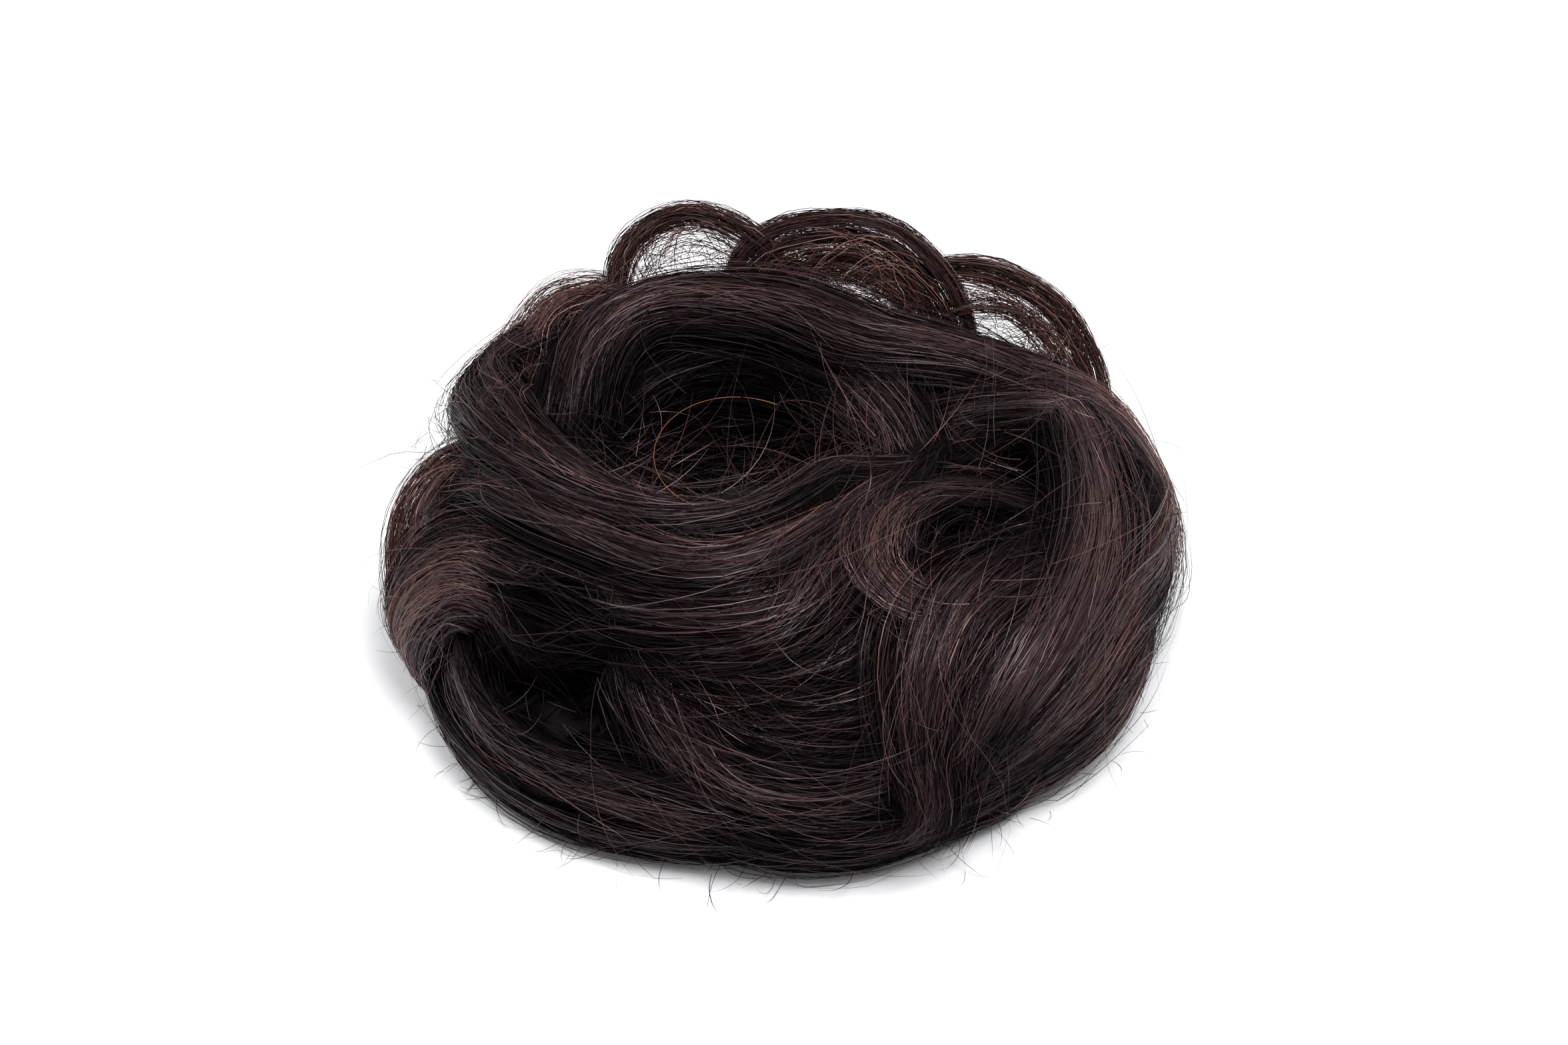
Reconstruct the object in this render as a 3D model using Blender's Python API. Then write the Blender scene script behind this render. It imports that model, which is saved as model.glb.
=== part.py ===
"""Messy bun hairpiece: a ring of wavy hair locks on an elastic band.

Metres, +Z up. The ring lies on its flat underside. The hole's axis is the origin
while the pieces are shaped; at the end everything moves so that the middle of the
whole piece's footprint is the origin.
"""
import math

import bmesh
import bpy
from mathutils import Vector

for old in list(bpy.data.objects):
    bpy.data.objects.remove(old, do_unlink=True)

# Sizes of the whole bun
BUN_WIDTH = 0.124
BUN_DEPTH = 0.115
BUN_RISE = 0.040
BACK_RISE = 0.05
HOLE_RADIUS = 0.016
HOLE_LEFT = 0.0067
HOLE_BACK = 0.013

# The elastic band in the wall of the hole, which it stands out of a little
BAND_THICKNESS = 0.005
BAND_STAND_OUT = 0.0009
BAND_RADIUS = HOLE_RADIUS + BAND_THICKNESS / 2 - BAND_STAND_OUT
BAND_HEIGHT = 0.008
BAND_SIDES = 26
CORD_SIDES = 8

# Hair
LOCK_WIDTH = 0.013
LOCK_THICKNESS = 0.008
LOCK_TIP = 0.45
TAPER_SHARE = 0.25
FLOOR_CLEARANCE = 0.0004
PIECE_CLEARANCE = 0.0004

# How finely the hair is faceted
SECTION_STEP = 0.008
SECTION_SIDES = 8
CURVE_STEPS = 8
FEWEST_SECTIONS = 6
POCKET_SIDES = 14
POCKET_RINGS = 8
CREASE = math.radians(50)

# The line inside the roll that every lock is wound around
CORE_REACH = 0.52
CORE_RISE = 0.35

# Section of the roll, from the underside's inner edge over the top to its outer edge.
# reach: share of the way from the hole's wall to the outer edge; rise: share of BUN_RISE
ROLL_SECTION = (
    # reach, rise
    (0.10, 0.00),
    (0.02, 0.06),
    (0.00, 0.20),
    (0.02, 0.45),
    (0.08, 0.66),
    (0.17, 0.82),
    (0.30, 0.90),
    (0.46, 0.89),
    (0.62, 0.78),
    (0.78, 0.61),
    (0.89, 0.44),
    (0.93, 0.28),
    (0.90, 0.10),
    (0.82, 0.00),
)
ROLL_BEARINGS = 28

# Pockets in the roll: size is a share of LOCK_WIDTH
POCKETS = (
    # bearing, reach, rise, size
    (-122, 0.72, 0.62, 1.15),
    (-4, 0.56, 0.80, 0.80),
    (-44, 0.56, 0.84, 0.65),
)

# Locks, the topmost first. Each has its width and thickness as shares of LOCK_WIDTH
# and LOCK_THICKNESS, what it winds around, and the stations its middle line runs through.
# A station is (bearing in degrees, reach, rise).
LOCKS = (
    ("tail_lock", 1.15, 1.0, "roll",
     ((-30, 0.70, 0.82), (-42, 0.68, 0.90), (-54, 0.70, 0.90), (-63, 0.80, 0.80),
      (-67, 0.92, 0.60), (-67, 1.04, 0.36))),
    ("curl_eye", 0.70, 0.75, "roll",
     ((-23, 0.60, 0.88), (-31, 0.48, 0.98), (-42, 0.40, 1.04), (-56, 0.42, 1.06),
      (-64, 0.54, 1.02), (-60, 0.66, 0.94), (-50, 0.64, 0.90))),
    ("mid_fall", 1.00, 0.75, "roll",
     ((-33, 0.24, 0.98), (-57, 0.32, 1.02), (-73, 0.48, 1.00), (-86, 0.64, 0.92),
      (-100, 0.68, 0.86))),
    ("fall_inner", 1.00, 1.00, "roll",
     ((2, 0.42, 0.96), (6, 0.72, 0.88), (-9, 0.76, 0.82), (-25, 0.80, 0.80),
      (-39, 0.84, 0.76), (-52, 0.90, 0.66), (-62, 0.94, 0.38))),
    ("fall_outer", 1.10, 1.10, "roll",
     ((19, 0.66, 0.92), (12, 0.92, 0.74), (0, 1.00, 0.52), (-14, 0.94, 0.52),
      (-29, 0.90, 0.58), (-43, 0.92, 0.50), (-57, 0.94, 0.40))),
    ("crown_lock", 0.95, 1.00, "roll",
     ((173, 0.38, 0.92), (134, 0.46, 1.06), (92, 0.26, 1.10), (41, 0.24, 1.06),
      (19, 0.56, 0.96), (11, 0.88, 0.76))),
    ("sweep_inner", 1.00, 1.00, "roll",
     ((157, 1.00, 0.78), (177, 0.68, 0.88), (202, 0.46, 0.94), (232, 0.32, 0.94),
      (266, 0.18, 0.90), (311, 0.08, 0.92), (343, 0.28, 0.92))),
    ("sweep_mid", 1.00, 1.00, "roll",
     ((178, 0.88, 0.64), (200, 0.62, 0.86), (230, 0.50, 0.96), (261, 0.46, 0.96),
      (291, 0.30, 0.96), (332, 0.22, 0.96))),
    ("sweep_outer", 1.10, 1.00, "roll",
     ((-174, 0.96, 0.50), (-154, 0.72, 0.74), (-130, 0.62, 0.86), (-105, 0.60, 0.90),
      (-80, 0.52, 0.92), (-54, 0.34, 0.92))),
    ("front_swirl", 1.15, 1.00, "roll",
     ((-113, 0.58, 0.82), (-103, 0.70, 0.78), (-91, 0.74, 0.76), (-79, 0.72, 0.78),
      (-68, 0.66, 0.82), (-56, 0.56, 0.82))),
    ("front_swirl_low", 1.25, 1.00, "roll",
     ((-105, 0.72, 0.70), (-95, 0.80, 0.68), (-85, 0.84, 0.64), (-74, 0.84, 0.64),
      (-64, 0.78, 0.62))),
    ("front_under", 1.10, 1.00, "roll",
     ((-112, 0.64, 0.80), (-104, 0.82, 0.66), (-95, 0.92, 0.50), (-83, 0.96, 0.44),
      (-72, 0.94, 0.42), (-60, 0.88, 0.42))),
    ("tail_side", 0.80, 0.90, "roll",
     ((-27, 0.80, 0.74), (-40, 0.76, 0.80), (-51, 0.80, 0.74), (-59, 0.90, 0.58),
      (-62, 0.96, 0.36))),
    ("curl_right", 1.00, 1.00, "roll",
     ((-22, 0.30, 0.88), (-6, 0.40, 0.90), (3, 0.56, 0.84), (0, 0.70, 0.70),
      (-11, 0.70, 0.66), (-22, 0.72, 0.62))),
    ("crown_inner", 1.00, 1.00, "roll",
     ((144, 0.22, 0.90), (106, 0.16, 0.92), (61, 0.12, 0.92), (18, 0.14, 0.92),
      (-13, 0.22, 0.90))),
    ("hole_lock", 0.60, 0.75, "roll",
     ((165, 0.18, 0.82), (140, 0.10, 0.66), (99, 0.08, 0.56), (41, 0.10, 0.62),
      (3, 0.16, 0.74))),
    ("curl_left", 1.30, 1.00, "roll",
     ((-131, 0.72, 0.60), (-139, 0.72, 0.70), (-147, 0.82, 0.72), (-152, 0.94, 0.60),
      (-154, 1.02, 0.42), (-154, 1.00, 0.22))),
    ("rim_left", 1.00, 1.00, "roll",
     ((-143, 0.90, 0.42), (-130, 0.96, 0.36), (-117, 0.96, 0.34), (-104, 0.96, 0.36),
      (-92, 0.94, 0.30))),
    ("rim_front", 0.95, 1.10, "roll",
     ((-102, 0.84, 0.22), (-89, 0.94, 0.22), (-76, 0.96, 0.20), (-63, 0.92, 0.20),
      (-50, 0.92, 0.22))),
    ("rim_right", 0.85, 1.00, "roll",
     ((-60, 0.90, 0.16), (-49, 0.96, 0.22), (-38, 1.00, 0.26), (-28, 1.00, 0.34),
      (-19, 0.96, 0.44))),
    ("rim_left_low", 0.75, 1.00, "roll",
     ((-149, 0.96, 0.22), (-133, 0.98, 0.16), (-117, 0.98, 0.14), (-102, 0.94, 0.14),
      (-87, 0.94, 0.20))),
    ("back_fall", 1.15, 1.00, "roll",
     ((158, 0.78, 0.72), (130, 0.76, 0.74), (100, 0.74, 0.76), (70, 0.76, 0.74),
      (42, 0.80, 0.68))),
    ("rim_back_left", 1.10, 1.00, "roll",
     ((205, 0.96, 0.22), (180, 0.98, 0.34), (155, 0.98, 0.30), (130, 0.96, 0.26),
      (102, 0.96, 0.20))),
    ("rim_back_right", 1.10, 1.00, "roll",
     ((108, 0.94, 0.34), (80, 0.98, 0.30), (52, 0.98, 0.28), (24, 0.96, 0.24),
      (-8, 0.98, 0.20))),
    ("loop_left", 0.50, 0.60, "itself",
     ((178, 0.68, 0.80), (182, 0.92, 0.74), (189, 1.04, 0.64), (196, 1.06, 0.46),
      (205, 1.00, 0.32), (215, 0.92, 0.30))),
    ("loop_back_left", 0.75, 0.70, "roll",
     ((127, 0.86, 1.02), (138, 0.94, 1.02), (147, 0.92, 0.92), (157, 0.84, 0.80),
      (167, 0.76, 0.70))),
    ("loop_back", 0.60, 0.60, "itself",
     ((126, 0.80, 0.92), (118, 0.98, 1.14), (105, 0.94, 1.26), (90, 0.80, 1.18),
      (80, 0.72, 0.96))),
    ("loop_crown", 0.70, 0.60, "itself",
     ((98, 0.58, 0.92), (88, 0.78, 1.14), (73, 0.86, 1.22), (58, 0.90, 1.20),
      (46, 0.88, 1.02), (38, 0.84, 0.78))),
    ("loop_crown_inner", 0.60, 0.60, "itself",
     ((89, 0.56, 0.92), (78, 0.74, 1.04), (65, 0.80, 1.08), (53, 0.82, 1.00),
      (44, 0.78, 0.82))),
    ("loop_right_outer", 0.55, 0.50, "itself",
     ((50, 0.98, 1.04), (40, 1.06, 1.06), (32, 1.16, 0.92), (26, 1.18, 0.70),
      (20, 1.10, 0.50))),
    ("loop_right_inner", 0.55, 0.50, "itself",
     ((40, 0.84, 0.96), (35, 1.00, 0.92), (29, 1.08, 0.76), (23, 1.04, 0.60))),
)

bun = bpy.data.collections.new("messy_bun_hairpiece")
bpy.context.scene.collection.children.link(bun)
cutters = bpy.data.collections.new("cutters")
bpy.context.scene.collection.children.link(cutters)


def hair_finish(name, colour, roughness):
    """A plain Principled material."""
    material = bpy.data.materials.new(name)
    material.use_nodes = True
    shader = material.node_tree.nodes["Principled BSDF"]
    shader.inputs["Base Color"].default_value = (*colour, 1.0)
    shader.inputs["Roughness"].default_value = roughness
    shader.inputs["Metallic"].default_value = 0.0
    return material


def outer_radius(bearing):
    """Distance from the hole's axis to the bun's oval edge along a bearing in radians."""
    across = 2 / BUN_WIDTH
    along = 2 / BUN_DEPTH
    step_x = math.cos(bearing) * across
    step_y = math.sin(bearing) * along
    start_x = -HOLE_LEFT * across
    start_y = HOLE_BACK * along
    square = step_x ** 2 + step_y ** 2
    middle = step_x * start_x + step_y * start_y
    rest = start_x ** 2 + start_y ** 2 - 1
    return (-middle + math.sqrt(middle ** 2 - square * rest)) / square


def place(bearing, reach, rise):
    """Point at a bearing in degrees, a share of the way out and a share of the rise."""
    angle = math.radians(bearing)
    radius = HOLE_RADIUS + reach * (outer_radius(angle) - HOLE_RADIUS)
    return Vector((radius * math.cos(angle), radius * math.sin(angle), rise * BUN_RISE))


def smooth(stations, steps):
    """Stations joined by a Catmull-Rom curve, with so many steps between two of them."""
    first = [2 * a - b for a, b in zip(stations[0], stations[1])]
    last = [2 * a - b for a, b in zip(stations[-1], stations[-2])]
    rows = [first, *stations, last]
    curve = []
    for before, start, end, after in zip(rows, rows[1:], rows[2:], rows[3:]):
        for step in range(steps):
            t = step / steps
            curve.append([
                0.5 * (2 * b + (c - a) * t + (2 * a - 5 * b + 4 * c - d) * t ** 2
                       + (3 * b - a - 3 * c + d) * t ** 3)
                for a, b, c, d in zip(before, start, end, after)])
    curve.append(list(stations[-1]))
    return curve


def even_points(points, step):
    """The same line with points spaced evenly, about one step apart."""
    lengths = [0.0]
    for a, b in zip(points, points[1:]):
        lengths.append(lengths[-1] + (b - a).length)
    count = max(FEWEST_SECTIONS, round(lengths[-1] / step))
    spaced = []
    index = 0
    for number in range(count + 1):
        target = lengths[-1] * number / count
        while index < len(points) - 2 and lengths[index + 1] < target:
            index += 1
        share = (target - lengths[index]) / (lengths[index + 1] - lengths[index])
        spaced.append(points[index].lerp(points[index + 1], share))
    return spaced


def closed_mesh(name, rings, is_ring):
    """A solid lofted through rings of points; is_ring joins the last ring to the first."""
    shell = bmesh.new()
    loops = [[shell.verts.new(point) for point in ring] for ring in rings]
    pairs = list(zip(loops, loops[1:]))
    if is_ring:
        pairs.append((loops[-1], loops[0]))
    for lower, upper in pairs:
        count = len(lower)
        for k in range(count):
            n = (k + 1) % count
            shell.faces.new((lower[k], lower[n], upper[n]))
            shell.faces.new((lower[k], upper[n], upper[k]))
    if not is_ring:
        shell.faces.new(list(reversed(loops[0])))
        shell.faces.new(loops[-1])
    bmesh.ops.recalc_face_normals(shell, faces=shell.faces)
    if shell.calc_volume(signed=True) < 0:
        bmesh.ops.reverse_faces(shell, faces=shell.faces)
    mesh = bpy.data.meshes.new(name)
    shell.to_mesh(mesh)
    shell.free()
    return mesh


def adopt(thing, name, collection):
    """Name an object and move it to a collection; the cutters there are drawn as wires."""
    thing.name = name
    for owner in list(thing.users_collection):
        owner.objects.unlink(thing)
    collection.objects.link(thing)
    if collection == cutters:
        thing.hide_render = True
        thing.display_type = "WIRE"
    return thing


def add_object(name, mesh, collection):
    """A new object of a mesh in a collection."""
    return adopt(bpy.data.objects.new(name, mesh), name, collection)


def add_ring(name, cord_radius, collection):
    """A round cord joined into a ring, at the band's place in the hole."""
    bpy.ops.mesh.primitive_torus_add(
        major_segments=BAND_SIDES, minor_segments=CORD_SIDES, major_radius=BAND_RADIUS,
        minor_radius=cord_radius, location=(0, 0, BAND_HEIGHT))
    return adopt(bpy.context.object, name, collection)


def roll_rings(grow):
    """Sections of the roll at even bearings, each pushed outward by grow."""
    rings = []
    for number in range(ROLL_BEARINGS):
        bearing = 360 * (number + 0.5) / ROLL_BEARINGS
        height = 1 + BACK_RISE * math.sin(math.radians(bearing))
        section = [place(bearing, reach, rise * height) for reach, rise in ROLL_SECTION]
        out = Vector((math.cos(math.radians(bearing)), math.sin(math.radians(bearing)), 0))
        flat = [Vector((point.dot(out), point.z)) for point in section]
        ring = []
        for k, point in enumerate(flat):
            edge = flat[(k + 1) % len(flat)] - flat[k - 1]
            away = Vector((-edge.y, edge.x)).normalized()
            moved = point + away * grow
            ring.append(out * moved.x + Vector((0, 0, moved.y)))
        rings.append(ring)
    return rings


def lock_rings(stations, width, thickness, around, grow):
    """Oval sections along a lock, wound round the roll's core or round the lock's own arch."""
    line = [place(*row) for row in smooth(stations, CURVE_STEPS)]
    line = even_points(line, SECTION_STEP)
    feet = (line[0] + line[-1]) / 2
    rings = []
    for k, point in enumerate(line):
        ahead = line[min(k + 1, len(line) - 1)]
        behind = line[max(k - 1, 0)]
        along = (ahead - behind).normalized()
        if around == "roll":
            bearing = math.degrees(math.atan2(point.y, point.x))
            away = point - place(bearing, CORE_REACH, CORE_RISE)
        else:
            away = point - feet
        side = along.cross(away).normalized()
        away = side.cross(along).normalized()
        share = k / (len(line) - 1)
        ease = min(1.0, share / TAPER_SHARE, (1 - share) / TAPER_SHARE)
        size = LOCK_TIP + (1 - LOCK_TIP) * math.sin(ease * math.pi / 2)
        if k == 0:
            point = point - along * grow
        if k == len(line) - 1:
            point = point + along * grow
        ring = []
        for corner in range(SECTION_SIDES):
            angle = 2 * math.pi * corner / SECTION_SIDES
            spot = point + side * math.cos(angle) * (width * size / 2 + grow)
            spot = spot + away * math.sin(angle) * (thickness * size / 2 + grow)
            spot.z = max(spot.z, FLOOR_CLEARANCE - grow)
            ring.append(spot)
        rings.append(ring)
    return rings


def boxes_meet(one, other):
    """Whether the boxes around two meshes overlap."""
    for axis in range(3):
        if max(v.co[axis] for v in one.vertices) < min(v.co[axis] for v in other.vertices):
            return False
        if min(v.co[axis] for v in one.vertices) > max(v.co[axis] for v in other.vertices):
            return False
    return True


def largest_body(mesh):
    """Keep the largest of a mesh's separate bodies, without fins of no thickness."""
    shell = bmesh.new()
    shell.from_mesh(mesh)
    bmesh.ops.triangulate(shell, faces=shell.faces)
    corners_seen = {}
    for face in shell.faces:
        corners_seen.setdefault(frozenset(face.verts), []).append(face)
    fins = [face for faces in corners_seen.values() if len(faces) > 1 for face in faces]
    bmesh.ops.delete(shell, geom=fins, context="FACES")
    bodies = []
    left = set(shell.verts)
    while left:
        body = {left.pop()}
        front = list(body)
        while front:
            vert = front.pop()
            for edge in vert.link_edges:
                other = edge.other_vert(vert)
                if other in left:
                    left.discard(other)
                    body.add(other)
                    front.append(other)
        bodies.append(body)

    def spread(body):
        return sum(face.calc_area() for face in {f for v in body for f in v.link_faces})

    bodies.sort(key=spread)
    spare = [vert for body in bodies[:-1] for vert in body]
    bmesh.ops.delete(shell, geom=spare, context="VERTS")
    shell.to_mesh(mesh)
    shell.free()


def carve(thing, tools):
    """Cut the tools out of an object in one go and keep the main body that is left."""
    group = bpy.data.collections.new(thing.name + "_cutters")
    cutters.children.link(group)
    for tool in tools:
        group.objects.link(tool)
    cut = thing.modifiers.new("cut", "BOOLEAN")
    cut.operation = "DIFFERENCE"
    cut.solver = "EXACT"
    cut.operand_type = "COLLECTION"
    cut.collection = group
    seen = thing.evaluated_get(bpy.context.evaluated_depsgraph_get())
    mesh = bpy.data.meshes.new_from_object(seen)
    thing.modifiers.clear()
    bpy.data.collections.remove(group)
    thing.data = mesh
    largest_body(mesh)


# Elastic band: a round cord joined into a ring, held in the wall of the hole
band = add_ring("elastic_band", BAND_THICKNESS / 2, bun)
band.data.materials.append(hair_finish("elastic", (0.012, 0.011, 0.011), 0.8))
band_room = add_ring("band_room", BAND_THICKNESS / 2 + PIECE_CLEARANCE, cutters)

# Hair roll: the teased base, grooved for the band and hollowed at its deep pockets
roll = add_object("hair_roll", closed_mesh("hair_roll", roll_rings(0), True), bun)
roll_room = add_object(
    "roll_room", closed_mesh("roll_room", roll_rings(PIECE_CLEARANCE), True), cutters)
pockets = []
for number, (bearing, reach, rise, size) in enumerate(POCKETS):
    bpy.ops.mesh.primitive_uv_sphere_add(
        segments=POCKET_SIDES, ring_count=POCKET_RINGS, radius=size * LOCK_WIDTH,
        location=place(bearing, reach, rise))
    pockets.append(adopt(bpy.context.object, "pocket_%d" % number, cutters))
bpy.context.view_layer.update()
carve(roll, [band_room, *pockets])
roll.data.materials.append(hair_finish("teased_hair", (0.013, 0.009, 0.008), 0.75))

# Locks: each is cut back where the roll and the locks above it lie
rooms = [roll_room, band_room]
for name, width, thickness, around, stations in LOCKS:
    sizes = (width * LOCK_WIDTH, thickness * LOCK_THICKNESS)
    lock = add_object(
        name, closed_mesh(name, lock_rings(stations, *sizes, around, 0), False), bun)
    above = [room for room in rooms if boxes_meet(lock.data, room.data)]
    carve(lock, above)
    lock.data.materials.append(hair_finish(name + "_hair", (0.020, 0.014, 0.012), 0.45))
    room = closed_mesh(
        name + "_room", lock_rings(stations, *sizes, around, PIECE_CLEARANCE), False)
    rooms.append(add_object(name + "_room", room, cutters))

# The footprint's middle becomes the origin
bpy.context.view_layer.update()
corners = [thing.matrix_world @ v.co for thing in bun.objects for v in thing.data.vertices]
middle = Vector([
    (min(c[axis] for c in corners) + max(c[axis] for c in corners)) / 2
    for axis in range(2)] + [0.0])
for thing in list(bun.objects) + list(cutters.objects):
    thing.location -= middle
for thing in bun.objects:
    thing.data.shade_smooth()
    thing.data.set_sharp_from_angle(angle=CREASE)
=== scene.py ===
"""The messy bun hairpiece as it looks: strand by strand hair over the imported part."""
import math
import zlib

import bpy
import numpy as np
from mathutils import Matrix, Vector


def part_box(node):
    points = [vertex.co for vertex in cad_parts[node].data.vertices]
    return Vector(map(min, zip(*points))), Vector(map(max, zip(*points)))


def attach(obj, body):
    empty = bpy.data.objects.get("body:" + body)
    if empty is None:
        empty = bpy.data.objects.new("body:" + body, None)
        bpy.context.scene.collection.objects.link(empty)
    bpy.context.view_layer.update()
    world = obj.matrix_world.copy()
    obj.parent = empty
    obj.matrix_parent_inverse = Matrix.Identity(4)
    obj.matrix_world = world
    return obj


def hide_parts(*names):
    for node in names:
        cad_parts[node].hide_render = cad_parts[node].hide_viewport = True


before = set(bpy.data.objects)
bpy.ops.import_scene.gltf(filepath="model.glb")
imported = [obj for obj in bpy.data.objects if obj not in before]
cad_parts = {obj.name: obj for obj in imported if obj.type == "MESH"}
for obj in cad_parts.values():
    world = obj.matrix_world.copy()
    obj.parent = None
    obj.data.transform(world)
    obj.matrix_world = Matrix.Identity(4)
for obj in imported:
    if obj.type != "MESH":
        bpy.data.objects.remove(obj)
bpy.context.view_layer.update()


# Teased base roll. A ring of backcombed dark hair, wefted and sewn round the elastic
# band. It shows between the locks, in the hole and in the deep pockets, so its hair
# runs loosely round the ring over a matt body painted near black as painted shade,
# and its colours are kept darker than the locks' as painted shade too.

BUN_WIDTH = 0.124
BUN_DEPTH = 0.115
BUN_RISE = 0.040
BACK_RISE = 0.05
HOLE_RADIUS = 0.016
HOLE_LEFT = 0.0067
HOLE_BACK = 0.013
LOCK_WIDTH = 0.013
LOCK_THICKNESS = 0.008
ROLL_SECTION = np.array((
    # reach, rise
    (0.10, 0.00), (0.02, 0.06), (0.00, 0.20), (0.02, 0.45), (0.08, 0.66), (0.17, 0.82),
    (0.30, 0.90), (0.46, 0.89), (0.62, 0.78), (0.78, 0.61), (0.89, 0.44), (0.93, 0.28),
    (0.90, 0.10), (0.82, 0.00), (0.46, 0.00), (0.10, 0.00)))
POCKETS = (
    # bearing, reach, rise, size as a share of LOCK_WIDTH
    (-122, 0.72, 0.62, 1.15), (-4, 0.56, 0.80, 0.80), (-44, 0.56, 0.84, 0.65))

band_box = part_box("elastic_band")
hole_axis = np.array([(band_box[0][k] + band_box[1][k]) / 2 for k in range(2)] + [0.0])


def outer_radius(angle):
    """Distance from the hole's axis to the bun's oval edge, for angles in radians."""
    across, along = 2 / BUN_WIDTH, 2 / BUN_DEPTH
    step_x, step_y = np.cos(angle) * across, np.sin(angle) * along
    start_x, start_y = -HOLE_LEFT * across, HOLE_BACK * along
    square = step_x ** 2 + step_y ** 2
    middle = step_x * start_x + step_y * start_y
    rest = start_x ** 2 + start_y ** 2 - 1
    return (-middle + np.sqrt(middle ** 2 - square * rest)) / square


def place(bearing, reach, rise):
    """Points at bearings in degrees, shares of the way out and shares of the rise."""
    angle = np.radians(bearing)
    radius = HOLE_RADIUS + reach * (outer_radius(angle) - HOLE_RADIUS)
    spot = np.broadcast_arrays(radius * np.cos(angle), radius * np.sin(angle), rise * BUN_RISE)
    return np.stack(spot, -1) + hole_axis


def unit(v):
    """Vectors scaled to length one."""
    return v / np.maximum(np.linalg.norm(v, axis=-1, keepdims=True), 1e-9)


STREAKS_ACROSS = 60.0
STREAKS_ALONG = 3.0
STREAK_DEPTH = 0.10
ROUGHNESS = (0.26, 0.46)
DULLEST_SHINE = 0.02
FULL_SHINE_TONE = 0.6
SHINE_TINT = (1.0, 0.82, 0.85, 1)


def hair_finish(name, colours, gloss):
    """Hair whose shade runs through colours, picked by the first number of its map."""
    material = bpy.data.materials.new(name)
    material.use_nodes = True
    nodes, links = material.node_tree.nodes, material.node_tree.links
    shader = nodes["Principled BSDF"]
    where = nodes.new("ShaderNodeUVMap")
    where.uv_map = "OFBake"
    split = nodes.new("ShaderNodeSeparateXYZ")
    links.new(where.outputs["UV"], split.inputs[0])
    stretch = nodes.new("ShaderNodeMapping")
    stretch.inputs["Scale"].default_value = (STREAKS_ACROSS, STREAKS_ALONG, 1.0)
    links.new(where.outputs["UV"], stretch.inputs["Vector"])
    streak = nodes.new("ShaderNodeTexNoise")
    streak.inputs["Scale"].default_value = 4.0
    streak.inputs["Detail"].default_value = 2.0
    links.new(stretch.outputs["Vector"], streak.inputs["Vector"])
    nudge = nodes.new("ShaderNodeMapRange")
    nudge.inputs["To Min"].default_value = -STREAK_DEPTH
    nudge.inputs["To Max"].default_value = STREAK_DEPTH
    links.new(streak.outputs["Fac"], nudge.inputs["Value"])
    total = nodes.new("ShaderNodeMath")
    links.new(split.outputs["X"], total.inputs[0])
    links.new(nudge.outputs["Result"], total.inputs[1])
    shade = nodes.new("ShaderNodeValToRGB")
    stops = shade.color_ramp.elements
    stops[0].color = (*colours[0], 1)
    stops[1].color = (*colours[-1], 1)
    for number, colour in enumerate(colours[1:-1], 1):
        stops.new(number / (len(colours) - 1)).color = (*colour, 1)
    links.new(total.outputs[0], shade.inputs["Fac"])
    links.new(shade.outputs["Color"], shader.inputs["Base Color"])
    rough = nodes.new("ShaderNodeMapRange")
    rough.inputs["To Min"].default_value = ROUGHNESS[0]
    rough.inputs["To Max"].default_value = ROUGHNESS[1]
    links.new(streak.outputs["Fac"], rough.inputs["Value"])
    links.new(rough.outputs["Result"], shader.inputs["Roughness"])
    shine = nodes.new("ShaderNodeMapRange")
    shine.inputs["From Max"].default_value = FULL_SHINE_TONE
    shine.inputs["To Min"].default_value = DULLEST_SHINE
    shine.inputs["To Max"].default_value = gloss
    links.new(total.outputs[0], shine.inputs["Value"])
    links.new(shine.outputs["Result"], shader.inputs["Specular IOR Level"])
    shader.inputs["Specular Tint"].default_value = SHINE_TINT
    return material


# Teased colours: the hair's own dark brown, kept darker than the locks' as painted shade for the
# pockets it lies in.
TEASED_GLOSS = 0.15
teased_finish = hair_finish("teased_hair", (
    (0.003, 0.0027, 0.0029), (0.011, 0.0092, 0.0097), (0.027, 0.0205, 0.0205),
    (0.07, 0.046, 0.041)), TEASED_GLOSS)


def quad_mesh(name, finish, points, quads, chart):
    """A mesh piece from arrays of points, quads and one chart place a point."""
    mesh = bpy.data.meshes.new(name)
    mesh.vertices.add(len(points))
    mesh.vertices.foreach_set("co", points.astype(np.float32).ravel())
    mesh.loops.add(quads.size)
    mesh.loops.foreach_set("vertex_index", quads.astype(np.int32).ravel())
    mesh.polygons.add(len(quads))
    mesh.polygons.foreach_set("loop_start", np.arange(0, quads.size, 4, dtype=np.int32))
    mesh.polygons.foreach_set("use_smooth", np.ones(len(quads), dtype=bool))
    layer = mesh.uv_layers.new(name="OFBake")
    layer.data.foreach_set("uv", chart[quads.ravel()].astype(np.float32).ravel())
    mesh.update(calc_edges=True)
    mesh.materials.append(finish)
    piece = bpy.data.objects.new(name, mesh)
    bpy.context.scene.collection.objects.link(piece)
    return piece


def ribbons(paths, ways, width, shade):
    """Flat hairs along paths. Facing, width and shade are given by hair and point."""
    count, along = paths.shape[:2]
    run = unit(np.gradient(paths, axis=1))
    side = unit(np.cross(run, ways)) * (width[..., None] / 2)
    points = np.stack([paths - side, paths + side], axis=2).reshape(-1, 3)
    first = (np.arange(count)[:, None] * along + np.arange(along - 1)[None]).ravel() * 2
    quads = np.stack([first, first + 1, first + 3, first + 2], -1)
    place_along = np.broadcast_to(np.linspace(0, 1, along), (count, along))
    chart = np.stack([np.broadcast_to(shade, (count, along)), place_along], -1)
    return points, quads, np.repeat(chart.reshape(-1, 2), 2, axis=0)


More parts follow.
